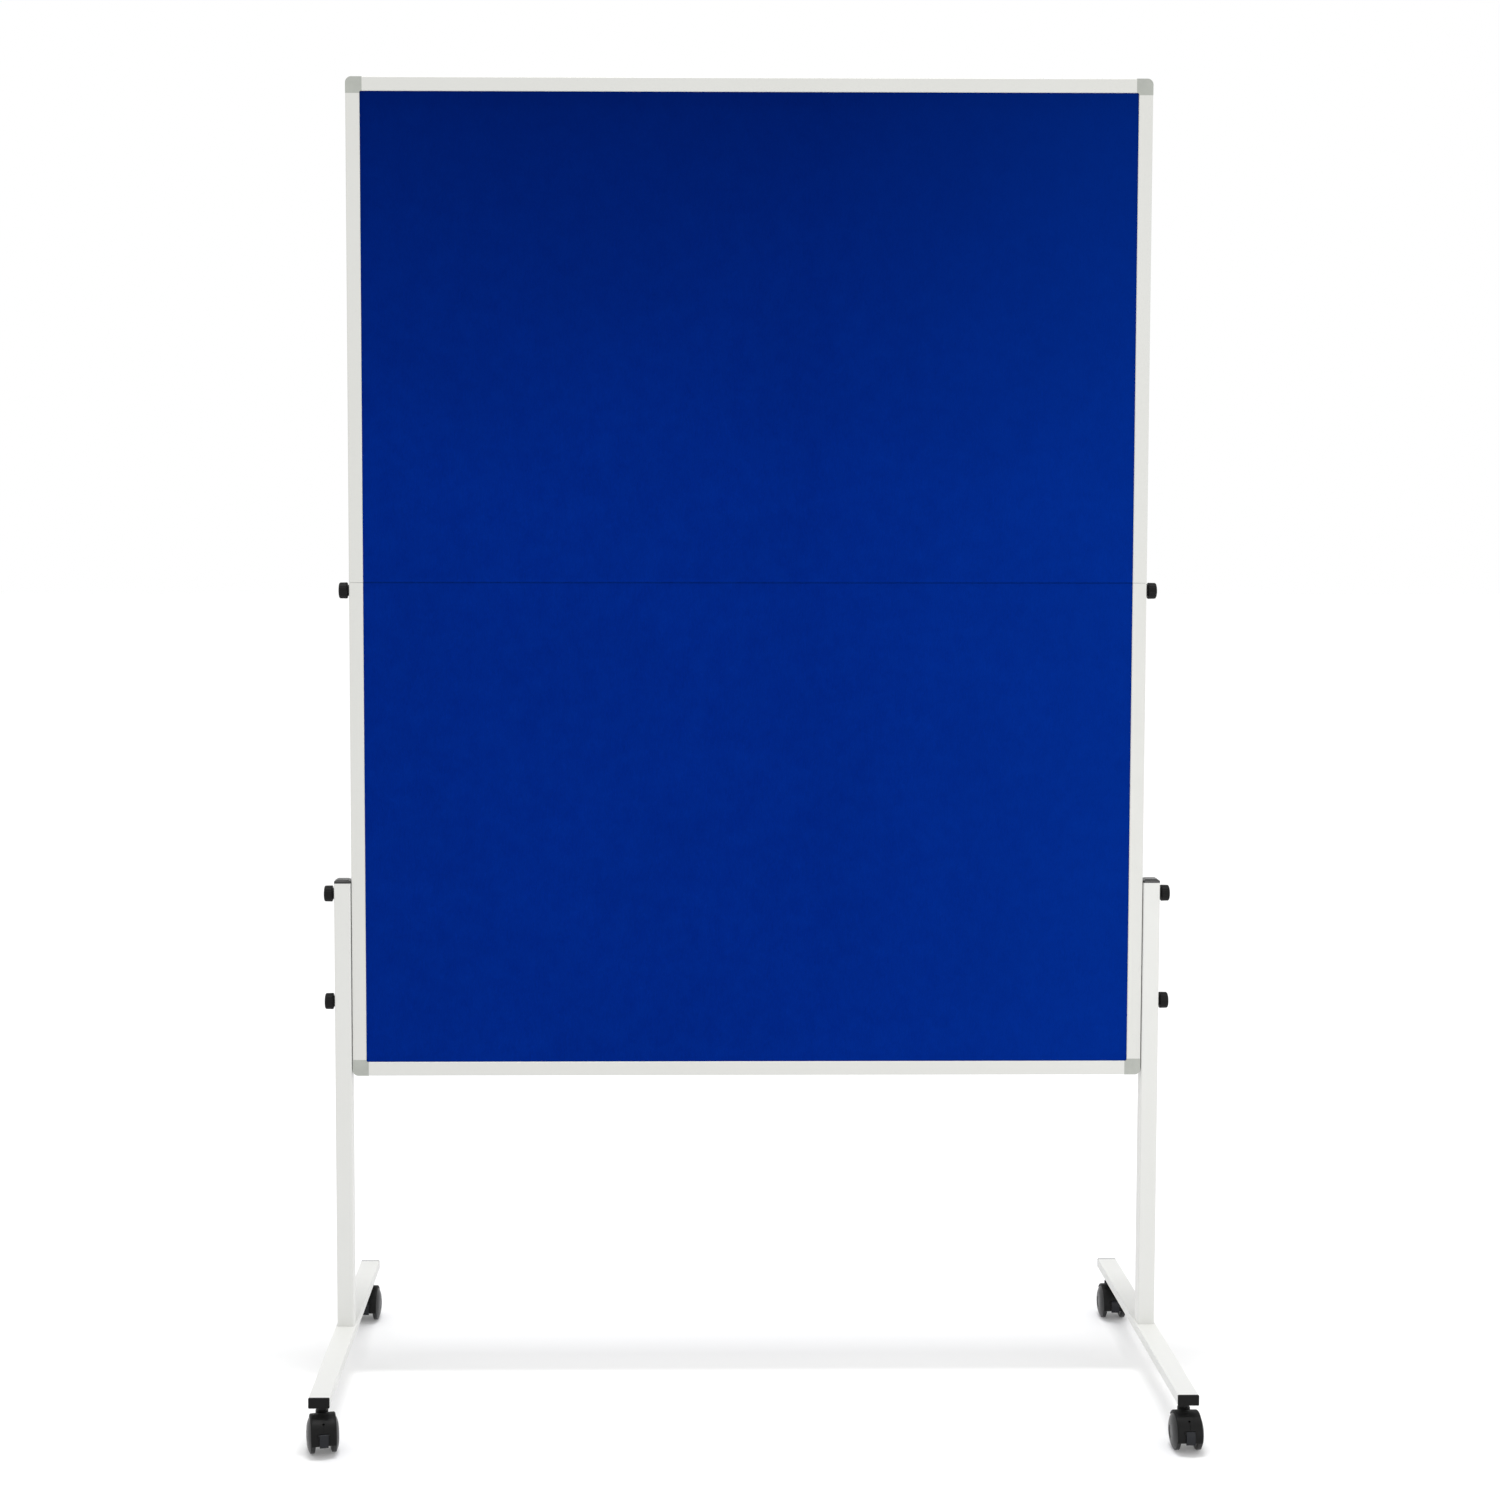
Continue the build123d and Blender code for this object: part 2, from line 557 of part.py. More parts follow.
with BuildPart() as hood:
    with BuildSketch(Plane.YZ):
        with Locations(wheel_centre):
            Circle(HOOD_RADIUS)
            Circle(FENDER_INNER, mode=Mode.SUBTRACT)
    extrude(amount=FENDER_HALF, both=True)
    rims = hood.edges().filter_by(GeomType.CIRCLE)
    fender_rims = rims.filter_by(lambda rim: abs(rim.radius - HOOD_RADIUS) < 0.01)
    fillet(fender_rims, radius=2.4)
    with Locations((0, 4.0, WHEEL_RADIUS)):
        Box(
            3 * FENDER_HALF,
            HOOD_RADIUS,
            3 * HOOD_RADIUS,
            align=(Align.CENTER, Align.MIN, Align.CENTER),
            mode=Mode.SUBTRACT,
        )
    with BuildSketch(Plane.YZ):
        with Locations(wheel_centre):
            Circle(HOOD_RADIUS)
    extrude(amount=WEB_HALF, both=True)
    with BuildSketch(Plane.XY.offset(WHEEL_RADIUS + 5.0)):
        Circle(BOSS_RADIUS)
    extrude(amount=BOSS_TOP - WHEEL_RADIUS - 5.0)
    chamfer(hood.edges().group_by(Axis.Z)[-1], length=0.8)
    with Locations((0, 0, HOOD_EDGE)):
        Box(
            3 * FENDER_HALF,
            5 * HOOD_RADIUS,
            2 * HOOD_RADIUS,
            align=(Align.CENTER, Align.CENTER, Align.MAX),
            mode=Mode.SUBTRACT,
        )
    with BuildSketch(Plane.YZ):
        with Locations(pedal_axis):
            Circle(PEDAL_BARREL + 0.3)
    extrude(amount=pedal_recess + PEDAL_EAR, both=True)
    with BuildSketch(Plane.YZ):
        with Locations(pedal_axis):
            Circle(PEDAL_BARREL + 0.6)
    extrude(amount=pedal_recess, both=True, mode=Mode.SUBTRACT)
    with BuildSketch(Plane.YZ):
        with Locations(pedal_axis):
            Circle(PEDAL_TRUNNION + RUNNING_GAP)
    extrude(amount=pedal_recess + PEDAL_EAR, both=True, mode=Mode.SUBTRACT)
    with BuildSketch(Plane.YZ):
        with Locations(wheel_centre):
            Circle(AXLE_RADIUS + 0.02)
    extrude(amount=FENDER_HALF, both=True, mode=Mode.SUBTRACT)
    with BuildSketch(Plane.XY.offset(STEM_BOTTOM - 1.0)):
        Circle(STEM_RADIUS + RUNNING_GAP)
    extrude(amount=BOSS_TOP, mode=Mode.SUBTRACT)
    hole_y, hole_z = hood_point(HOOD_RADIUS, 48.0)
    radial = (0, hole_y - wheel_centre[0], hole_z - wheel_centre[1])
    with BuildSketch(Plane(origin=(0, hole_y, hole_z), z_dir=radial)):
        Circle(1.75)
    extrude(amount=-4.0, mode=Mode.SUBTRACT)
    with BuildSketch(Plane.YZ):
        with Locations(wheel_centre):
            Circle(HOOD_RADIUS + 1.0)
            Circle(HOOD_RADIUS - 0.7, mode=Mode.SUBTRACT)
        wedge(25.0, 43.0)
    extrude(amount=0.6, both=True, mode=Mode.SUBTRACT)

with BuildPart() as axle:
    with BuildSketch(Plane.YZ):
        with Locations(wheel_centre):
            Circle(AXLE_RADIUS)
    extrude(amount=AXLE_HALF, both=True)

with BuildPart() as right_wheel:
    with BuildSketch(Plane(origin=(0, *wheel_centre), x_dir=(1, 0, 0), z_dir=(0, -1, 0))):
        bore = AXLE_RADIUS + RUNNING_GAP
        with BuildLine():
            Polyline(
                (WHEEL_INNER, bore),
                (WHEEL_INNER, WHEEL_RADIUS - 3.5),
                (WHEEL_INNER + 1.6, WHEEL_RADIUS),
                (WHEEL_OUTER - 4.5, WHEEL_RADIUS),
            )
            ThreePointArc(
                (WHEEL_OUTER - 4.5, WHEEL_RADIUS),
                (WHEEL_OUTER - 1.2, WHEEL_RADIUS - 7.0),
                (WHEEL_OUTER, 9.0),
            )
            Polyline(
                (WHEEL_OUTER, 9.0),
                (WHEEL_OUTER - 0.7, 8.3),
                (WHEEL_OUTER - 0.7, 0),
                (AXLE_HALF + 0.2, 0),
                (AXLE_HALF + 0.2, bore),
                (WHEEL_INNER, bore),
            )
        make_face()
    revolve(axis=Axis((0, *wheel_centre), (1, 0, 0)))

with BuildPart() as left_wheel:
    mirror(right_wheel.part, about=Plane.YZ)

with BuildPart() as pedal:
    with BuildSketch(Plane.YZ):
        with Locations(pedal_axis):
            Circle(PEDAL_BARREL)
    extrude(amount=PEDAL_HALF, both=True)
    with BuildSketch(Plane.YZ):
        with Locations(wheel_centre):
            Circle(HOOD_RADIUS + 0.4 + PEDAL_THICKNESS)
            Circle(HOOD_RADIUS + 0.4, mode=Mode.SUBTRACT)
        wedge(PEDAL_END_ANGLE, PEDAL_ANGLE)
    extrude(amount=PEDAL_HALF, both=True)
    fillet(pedal.edges().group_by(Axis.Z)[0], radius=0.8)
    with BuildSketch(Plane.YZ):
        with Locations(pedal_axis):
            Circle(PEDAL_TRUNNION)
    extrude(amount=pedal_recess + PEDAL_EAR - 0.2, both=True)

castor_pieces = {
    "castor_hood": hood,
    "castor_axle": axle,
    "left_wheel": left_wheel,
    "right_wheel": right_wheel,
    "brake_pedal": pedal,
}
for corner, (x, y, swivel) in CASTORS.items():
    for piece_name, piece in castor_pieces.items():
        with BuildPart() as placed:
            with Locations(Location((x * POST_X, y * CASTOR_Y, 0), (0, 0, swivel))):
                add(piece.part)
        write(placed, f"{corner}_{piece_name}")
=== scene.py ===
"""Looks of a rolling pin board: felts, finishes, floor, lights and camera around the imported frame.

Everything is in metres in the frame's own axes: +X to the right, +Y to the back, +Z up.
"""

import logging
from abc import ABC, abstractmethod
from dataclasses import dataclass, field
from enum import Enum
from math import cos, pi, radians, sin
from typing import Any

import bpy
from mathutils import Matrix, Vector, noise


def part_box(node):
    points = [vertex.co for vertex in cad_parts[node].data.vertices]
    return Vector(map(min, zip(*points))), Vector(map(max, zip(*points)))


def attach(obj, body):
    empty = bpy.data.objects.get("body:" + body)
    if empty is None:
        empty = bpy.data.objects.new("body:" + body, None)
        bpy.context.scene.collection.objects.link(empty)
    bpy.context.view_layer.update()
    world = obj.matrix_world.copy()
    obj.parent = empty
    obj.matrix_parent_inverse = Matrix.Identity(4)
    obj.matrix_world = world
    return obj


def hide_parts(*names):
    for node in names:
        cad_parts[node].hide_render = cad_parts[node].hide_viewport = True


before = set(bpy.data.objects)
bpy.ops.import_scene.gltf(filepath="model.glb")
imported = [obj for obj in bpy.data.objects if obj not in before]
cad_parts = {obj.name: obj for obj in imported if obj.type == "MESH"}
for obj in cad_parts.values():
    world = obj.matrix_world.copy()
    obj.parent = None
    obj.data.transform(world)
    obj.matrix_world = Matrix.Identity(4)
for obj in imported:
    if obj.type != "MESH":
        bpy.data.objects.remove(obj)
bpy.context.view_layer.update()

MM = 0.001
log = logging.getLogger("pin_board")

Colour = tuple[float, float, float]
Socket = bpy.types.NodeSocket


class Coat(Enum):
    """The finishes on the board, the caps' own satin among them."""

    RAIL = "white_coat"
    TUBE = "white_steel"
    CORNER = "grey_plastic"
    BLACK = "black_plastic"
    CAP = "satin_black_plastic"
    CASTOR = "castor_nylon"
    PEDAL = "pedal_plastic"
    FELT = "blue_felt"
    CORE = "core_board"
    ZINC = "zinc_steel"
    BLACK_STEEL = "black_steel"


class Half(Enum):
    """The two folding halves of the board."""

    LOWER = "lower"
    UPPER = "upper"

    @property
    def body(self) -> str:
        """Name of the CAD body that carries this half."""
        return f"{self.value}_panel"


class Face(Enum):
    """The two pinning faces, with the way each looks along Y."""

    FRONT = -1
    BACK = 1


# ---------------------------------------------------------------- node trees and finishes
class Bench:
    """A material's node tree, with short calls to add and join nodes.

    Args:
        name: the material's name.
    """

    def __init__(self, name: str) -> None:
        """Make the material with an empty tree, a Principled shader and an output."""
        self.material = bpy.data.materials.new(name)
        self.material.use_nodes = True
        self.tree = self.material.node_tree
        self.tree.nodes.clear()
        self.shader = self.add("ShaderNodeBsdfPrincipled")
        output = self.add("ShaderNodeOutputMaterial")
        self.join(self.shader, "BSDF", output, "Surface")
        self.place = self.add("ShaderNodeTexCoord").outputs["Object"]

    def add(self, kind: str, **values: Any) -> bpy.types.Node:
        """Add a node and set its input sockets or its own properties.

        Args:
            kind: the node's type name.
            **values: socket names with underscores for spaces, or property names.

        Returns:
            The new node.
        """
        node = self.tree.nodes.new(kind)
        for name, value in values.items():
            socket = name.replace("_", " ")
            if socket in node.inputs:
                node.inputs[socket].default_value = value
            else:
                setattr(node, name, value)
        return node

    def join(self, source: bpy.types.Node, out: str, target: bpy.types.Node, socket: str | int) -> None:
        """Link one node's output to another's input."""
        self.tree.links.new(source.outputs[out], target.inputs[socket])

    def stretched(self, scale: tuple[float, float, float], turn: float = 0.0) -> Socket:
        """Object coordinates scaled unevenly and turned about Y, for grain that has a direction.

        Args:
            scale: the three scale factors.
            turn: the turn about Y, in degrees.

        Returns:
            The vector socket.
        """
        mapping = self.add("ShaderNodeMapping")
        mapping.inputs["Rotation"].default_value = (0.0, radians(turn), 0.0)
        mapping.inputs["Scale"].default_value = scale
        self.tree.links.new(self.place, mapping.inputs["Vector"])
        return mapping.outputs["Vector"]

    def noise(self, scale: float, detail: float = 3.0, rough: float = 0.5, **more: Any) -> Socket:
        """A noise pattern's value.

        Args:
            scale: features per metre.
            detail: octaves.
            rough: how strong the finer octaves are.
            **more: distortion, or vector as a socket to use in place of object coordinates.

        Returns:
            The value socket, from 0 to 1.
        """
        vector = more.pop("vector", self.place)
        made = self.add("ShaderNodeTexNoise", Scale=scale, Detail=detail, Roughness=rough)
        made.inputs["Distortion"].default_value = more.get("distortion", 0.0)
        self.tree.links.new(vector, made.inputs["Vector"])
        return made.outputs["Fac"]

    def spread(self, value: Socket, low: float, high: float, to: tuple[float, float]) -> Socket:
        """Map a value from low..high onto another range, clamped.

        Args:
            value: the socket to map.
            low: input that gives the first of to.
            high: input that gives the second.
            to: the range to map onto.

        Returns:
            The mapped value's socket.
        """
        made = self.add("ShaderNodeMapRange", From_Min=low, From_Max=high, To_Min=to[0], To_Max=to[1])
        self.tree.links.new(value, made.inputs["Value"])
        return made.outputs["Result"]

    def mix(self, factor: Socket, first: Colour | Socket, second: Colour | Socket) -> Socket:
        """Mix two colours.

        Args:
            factor: how much of the second shows, from 0 to 1.
            first: the first colour.
            second: the second colour.

        Returns:
            The mixed colour's socket.
        """
        made = self.add("ShaderNodeMix", data_type="RGBA")
        self.tree.links.new(factor, made.inputs[0])
        for index, colour in ((6, first), (7, second)):
            if isinstance(colour, tuple):
                made.inputs[index].default_value = (*colour, 1.0)
            else:
                self.tree.links.new(colour, made.inputs[index])
        return made.outputs[2]

    def sums(self, operation: str, first: float | Socket, second: float | Socket) -> Socket:
        """Combine two values with a Math node.

        Args:
            operation: the node's operation.
            first: the first value.
            second: the second value.

        Returns:
            The result's socket.
        """
        made = self.add("ShaderNodeMath", operation=operation)
        for index, value in enumerate((first, second)):
            if isinstance(value, (int, float)):
                made.inputs[index].default_value = value
            else:
                self.tree.links.new(value, made.inputs[index])
        return made.outputs[0]

    def bump(self, height: Socket, distance: float, strength: float = 1.0) -> None:
        """Raise the surface by a height pattern.

        Args:
            height: the pattern's socket.
            distance: the relief in metres.
            strength: how much of it shows.
        """
        made = self.add("ShaderNodeBump", Strength=strength, Distance=distance)
        self.tree.links.new(height, made.inputs["Height"])
        earlier = self.shader.inputs["Normal"].links
        if earlier:
            self.tree.links.new(earlier[0].from_socket, made.inputs["Normal"])
        self.join(made, "Normal", self.shader, "Normal")

    def rough(self, pattern: Socket, low: float, high: float) -> None:
        """Let a pattern's middle range vary the shader's roughness.

        Args:
            pattern: the pattern's socket, from 0 to 1.
            low: the roughness where the pattern is weak.
            high: the roughness where it is strong.
        """
        self.wire(self.spread(pattern, 0.3, 0.7, (low, high)), "Roughness")

    def wire(self, value: Socket, socket: str) -> None:
        """Link a value to one of the shader's sockets."""
        self.tree.links.new(value, self.shader.inputs[socket])

    def still(self, **values: Any) -> None:
        """Set shader sockets that are the same all over the surface.

        Args:
            **values: socket names with underscores for spaces, and their values.
        """
        for name, value in values.items():
            self.shader.inputs[name.replace("_", " ")].default_value = value


@dataclass(frozen=True)
class Finish(ABC):
    """A surface finish.

    Args:
        name: the finish in a maker's words.
        colour: its linear base colour.
    """

    name: str
    colour: Colour

    @abstractmethod
    def build(self) -> bpy.types.Material:
        """Make the material."""

    def shade(self, factor: float, tint: Colour = (1.0, 1.0, 1.0)) -> Colour:
        """The base colour, made brighter or darker by a factor and tinted."""
        return tuple(part * factor * hue for part, hue in zip(self.colour, tint))


@dataclass(frozen=True)
class PowderCoat(Finish):
    """Powder coat on metal: orange peel, faint cloudiness and painted shade in the recesses.

    Args:
        roughness: how matt it is.
        peel: orange-peel ripples per metre.
        peel_height: the ripples' height.
        ripple_height: height of the broader waves in the coat.
        dust_and_shade: how far the painted shade darkens the recesses.
        recess_depth: how deep a recess has to be to take the painted shade.
    """

    roughness: float = 0.42
    peel: float = 700.0
    peel_height: float = 0.04 * MM
    ripple_height: float = 0.08 * MM
    dust_and_shade: float = 0.05
    recess_depth: float = 12.0 * MM

    def build(self) -> bpy.types.Material:
        """Make the powder-coated material.

        Returns:
            The material.
        """
        bench = Bench(self.name)
        cloud = bench.noise(4.0, 2.0)
        body = bench.mix(cloud, self.shade(0.975, (1.0, 0.998, 0.985)), self.shade(1.02))
        specks = bench.spread(bench.noise(260.0, 4.0, 0.6), 0.66, 0.74, (0.0, 0.10))
        body = bench.mix(specks, body, self.shade(0.55, (1.0, 0.95, 0.85)))
        # Painted shade: an occlusion pattern darkens the coat in its recesses and between parts, where
        # shade falls.
        recess = bench.add("ShaderNodeAmbientOcclusion", samples=6, Distance=self.recess_depth)
        painted_recess_shade = bench.spread(recess.outputs["AO"], 0.35, 0.9, (self.dust_and_shade, 0.0))
        body = bench.mix(painted_recess_shade, body, self.shade(0.55, (0.96, 0.98, 1.0)))
        bench.wire(body, "Base Color")
        bench.rough(bench.noise(35.0, 3.0), self.roughness - 0.06, self.roughness + 0.07)
        bench.bump(bench.noise(self.peel, 2.0, 0.4), self.peel_height, 0.6)
        bench.bump(bench.noise(60.0, 1.0), self.ripple_height, 0.35)
        bench.still(IOR=1.5)
        return bench.material


@dataclass(frozen=True)
class MouldedPlastic(Finish):
    """Injection-moulded plastic with a fine eroded grain and rubbed high spots.

    Args:
        roughness: how matt it is.
        grain: pits of the eroded grain per metre.
        grain_height: the grain's depth.
        rub: how much of a paler colour shows on the rubbed spots.
        gloss: the shader's specular level.
    """

    roughness: float = 0.5
    grain: float = 1500.0
    grain_height: float = 0.05 * MM
    rub: float = 0.35
    gloss: float = 0.5

    def build(self) -> bpy.types.Material:
        """Make the moulded plastic.

        Returns:
            The material.
        """
        bench = Bench(self.name)
        grain = bench.noise(self.grain, 3.0, 0.6)
        cloud = bench.noise(55.0, 3.0, 0.55)
        body = bench.mix(cloud, self.shade(0.86), self.shade(1.14))
        worn = bench.spread(bench.noise(210.0, 5.0, 0.7, distortion=0.6), 0.62, 0.78, (0.0, self.rub))
        pale = tuple(part * 1.5 + 0.012 for part in self.colour)
        body = bench.mix(worn, body, pale)
        bench.wire(body, "Base Color")
        bench.rough(cloud, self.roughness - 0.08, self.roughness + 0.10)
        bench.bump(grain, self.grain_height, 0.55)
        bench.still(IOR=1.48, Specular_IOR_Level=self.gloss)
        return bench.material


@dataclass(frozen=True)
class CastorNylon(Finish):
    """Satin nylon of the castor wheels, scuffed and a little dusty.

    Args:
        roughness: how matt it is.
        scratch_depth: depth of the fine scratches.
        wave_height: height of the moulding's broad unevenness.
    """

    roughness: float = 0.34
    scratch_depth: float = 0.01 * MM
    wave_height: float = 0.12 * MM

    def build(self) -> bpy.types.Material:
        """Make the wheel material.

        Returns:
            The material.
        """
        bench = Bench(self.name)
        dust_and_shade = bench.spread(bench.noise(130.0, 6.0, 0.7, distortion=0.8), 0.50, 0.82, (0.0, 0.22))
        body = bench.mix(dust_and_shade, self.shade(1.0), self.shade(3.2, (1.0, 0.98, 0.94)))
        bench.wire(body, "Base Color")
        scratches = bench.noise(900.0, 3.0, 0.6, vector=bench.stretched((1.0, 0.08, 1.0), 30.0))
        span = (self.roughness - 0.03, self.roughness + 0.10)
        bench.wire(bench.spread(scratches, 0.35, 0.7, span), "Roughness")
        bench.bump(scratches, self.scratch_depth, 0.4)
        bench.bump(bench.noise(90.0, 2.0), self.wave_height, 0.4)
        bench.still(IOR=1.53, Specular_IOR_Level=0.35)
        return bench.material


@dataclass(frozen=True)
class NeedledFelt(Finish):
    """Needle-punched felt: matted fibres and soft mottling, with painted shade towards the top and painted
    light towards the right.

    Args:
        deep: the dark colour of the random blotches and of the painted shade towards the top.
        bright: the pale colour of the mottling and of the painted light towards the right.
        fuzz: strength of the loose surface fibres.
        top_shade_start: height from which painted shade darkens the felt.
        top_shade_end: height where the painted shade is full.
        top_shade: how much of the deep colour the painted shade mixes in there.
        lit_start: place across the width from which painted light brightens the felt.
        lit_end: place where the painted light is full.
        lit: how much of the bright colour the painted light mixes in there.
        fibre_height: relief of the fibres.
        lump_height: relief of the matted lumps.
        fibre_turns: directions in which the fibres are laid, in degrees.
    """

    deep: Colour = (0.0001, 0.0045, 0.068)
    bright: Colour = (0.0010, 0.032, 0.300)
    fuzz: float = 0.35
    top_shade_start: float = 1.35
    top_shade_end: float = 1.95
    top_shade: float = 0.67
    lit_start: float = 0.10
    lit_end: float = 0.60
    lit: float = 0.22
    fibre_height: float = 0.35 * MM
    lump_height: float = 0.5 * MM
    fibre_turns: tuple[float, float, float] = (12.0, 71.0, 133.0)

    def fibres(self, bench: Bench) -> Socket:
        """Matted fibres: three stretched noises laid across each other.

        Args:
            bench: the node tree to build in.

        Returns:
            The fibre height's socket.
        """
        layers = [
            bench.noise(620.0, 3.0, 0.65, vector=bench.stretched((1.0, 1.0, 0.16), turn), distortion=1.4)
            for turn in self.fibre_turns
        ]
        crossed = bench.sums("MAXIMUM", bench.sums("MAXIMUM", layers[0], layers[1]), layers[2])
        return bench.spread(crossed, 0.42, 0.78, (0.0, 1.0))

    def build(self) -> bpy.types.Material:
        """Make the felt.

        Returns:
            The material.
        """
        bench = Bench(self.name)
        fibres = self.fibres(bench)
        body = bench.mix(fibres, self.shade(0.85), self.shade(1.17))
        mottle = bench.noise(38.0, 5.0, 0.65)
        body = bench.mix(bench.spread(mottle, 0.35, 0.75, (0.0, 0.19)), body, self.bright)
        blotch = bench.noise(5.0, 2.0, 0.5)
        body = bench.mix(bench.spread(blotch, 0.35, 0.70, (0.10, 0.0)), body, self.deep)
        where = bench.add("ShaderNodeSeparateXYZ")
        bench.tree.links.new(bench.place, where.inputs[0])
        # Painted shade: the felt is mixed towards the deep colour with height, darker towards the top.
        painted_top_shade = bench.spread(where.outputs["Z"], self.top_shade_start, self.top_shade_end, (0.0, self.top_shade))
        body = bench.mix(painted_top_shade, body, self.deep)
        # Painted light: the felt is mixed towards the bright colour towards the right.
        painted_side_light = bench.spread(where.outputs["X"], self.lit_start, self.lit_end, (0.0, self.lit))
        body = bench.mix(painted_side_light, body, self.bright)
        bench.wire(body, "Base Color")
        bench.bump(fibres, self.fibre_height, 0.8)
        bench.bump(bench.noise(150.0, 4.0, 0.6), self.lump_height, 0.35)
        bench.still(
            Roughness=0.95,
            Specular_IOR_Level=0.0,
            Sheen_Weight=self.fuzz,
            Sheen_Roughness=0.55,
            Sheen_Tint=(0.004, 0.13, 0.60, 1.0),
        )
        return bench.material


@dataclass(frozen=True)
class FibreBoard(Finish):
    """Soft fibre board: short pale and dark fibres pressed flat.

    Args:
        strand_height: relief of the fibres.
    """

    strand_height: float = 0.3 * MM

    def build(self) -> bpy.types.Material:
        """Make the core board's material.

        Returns:
            The material.
        """
        bench = Bench(self.name)
        laid = bench.stretched((1.0, 1.0, 0.25), 40.0)
        strands = bench.noise(480.0, 5.0, 0.7, vector=laid, distortion=1.0)
        shown = bench.spread(strands, 0.35, 0.68, (0.0, 1.0))
        body = bench.mix(shown, self.shade(0.62), self.shade(1.15))
        bench.wire(body, "Base Color")
        bench.bump(strands, self.strand_height, 0.8)
        bench.still(Roughness=0.9, Specular_IOR_Level=0.2)
        return bench.material


@dataclass(frozen=True)
class PlatedSteel(Finish):
    """Bright zinc plate or black oxide on steel, drawn and handled.

    Args:
        roughness: how matt it is.
        metal: how metallic it is.
        draw_depth: depth of the drawing lines.
    """

    roughness: float = 0.33
    metal: float = 1.0
    draw_depth: float = 0.02 * MM

    def build(self) -> bpy.types.Material:
        """Make the plated steel.

        Returns:
            The material.
        """
        bench = Bench(self.name)
        drawn = bench.noise(1400.0, 3.0, 0.6, vector=bench.stretched((0.12, 1.0, 1.0)))
        stain = bench.noise(160.0, 4.0, 0.6)
        stained = bench.spread(stain, 0.35, 0.7, (0.0, 1.0))
        body = bench.mix(stained, self.shade(0.78, (1.0, 0.98, 0.93)), self.shade(1.08))
        bench.wire(body, "Base Color")
        bench.rough(drawn, self.roughness - 0.08, self.roughness + 0.16)
        bench.bump(drawn, self.draw_depth, 0.5)
        bench.still(Metallic=self.metal)
        return bench.material


@dataclass(frozen=True)
class StudioPaint(Finish):
    """Matt white paint of the studio floor, faintly uneven, lit up towards its far edges.

    Args:
        base_glow: light given off all over.
        glow: light given off by the far floor.
        glow_from: distance from the stand where it starts.
        glow_full: distance where it is full.
        stipple: height of the roller's marks.
    """

    base_glow: float = 0.11
    glow: float = 0.26
    glow_from: float = 1.6
    glow_full: float = 5.0
    stipple: float = 0.1 * MM

    def build(self) -> bpy.types.Material:
        """Make the floor paint.

        Returns:
            The material.
        """
        bench = Bench(self.name)
        body = bench.mix(bench.noise(1.5, 2.0), self.shade(0.99), self.shade(1.0))
        bench.wire(body, "Base Color")
        bench.bump(bench.noise(180.0, 3.0), self.stipple, 0.3)
        reach = bench.add("ShaderNodeVectorMath", operation="LENGTH")
        bench.tree.links.new(bench.place, reach.inputs[0])
        span = (self.base_glow, self.glow)
        glow = bench.spread(reach.outputs["Value"], self.glow_from, self.glow_full, span)
        bench.wire(glow, "Emission Strength")
        bench.still(Roughness=0.9, Specular_IOR_Level=0.1, Emission_Color=(1.0, 1.0, 1.0, 1.0))
        return bench.material


FINISHES: dict[Coat, Finish] = {
    Coat.RAIL: PowderCoat("powder_coat_rail", (0.612, 0.614, 0.590)),
    Coat.TUBE: PowderCoat("powder_coat_tube", (0.640, 0.643, 0.623), roughness=0.38, peel=520.0),
    Coat.CORNER: MouldedPlastic("grey_corner_moulding", (0.368, 0.381, 0.349), 0.48, rub=0.15),
    Coat.BLACK: MouldedPlastic("black_moulding", (0.0055, 0.0055, 0.0054), 0.50, rub=0.08, gloss=0.14),
    Coat.CAP: MouldedPlastic("satin_black_cap", (0.012, 0.012, 0.0115), 0.30, rub=0.12, gloss=0.55),
    Coat.CASTOR: CastorNylon("castor_nylon", (0.008, 0.008, 0.0085)),
    Coat.PEDAL: MouldedPlastic("slate_pedal_moulding", (0.011, 0.012, 0.0145), 0.46, rub=0.12, gloss=0.22),
    Coat.FELT: NeedledFelt("needled_blue_felt", (0.0005, 0.0146, 0.190)),
    Coat.CORE: FibreBoard("soft_fibre_board", (0.50, 0.40, 0.29)),
    Coat.ZINC: PlatedSteel("bright_zinc_plate", (0.66, 0.67, 0.68)),
    Coat.BLACK_STEEL: PlatedSteel("black_oxide_steel", (0.05, 0.05, 0.052), 0.40, 0.9),
}


class Palette:
    """Every finish, built once, and the way to dress CAD nodes and new pieces in it."""

    def __init__(self) -> None:
        """Build all the finishes."""
        self.made = {coat: finish.build() for coat, finish in FINISHES.items()}
        log.info("built %d finishes", len(self.made))

    def dress(self, node: str, coat: Coat) -> None:
        """Give a CAD node's object one finish in all its slots.

        Args:
            node: the node's name.
            coat: the finish.
        """
        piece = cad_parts[node]
        if not piece.material_slots:
            piece.data.materials.append(None)
        for held in piece.material_slots:
            held.material = self.made[coat]
        log.info("dressed %s in %s", node, coat.value)

    def paint(self, piece: bpy.types.Object, coat: Coat) -> None:
        """Give a new piece one finish in a single material slot.

        Args:
            piece: the new piece.
            coat: the finish.
        """
        piece.data.materials.clear()
        piece.data.materials.append(self.made[coat])


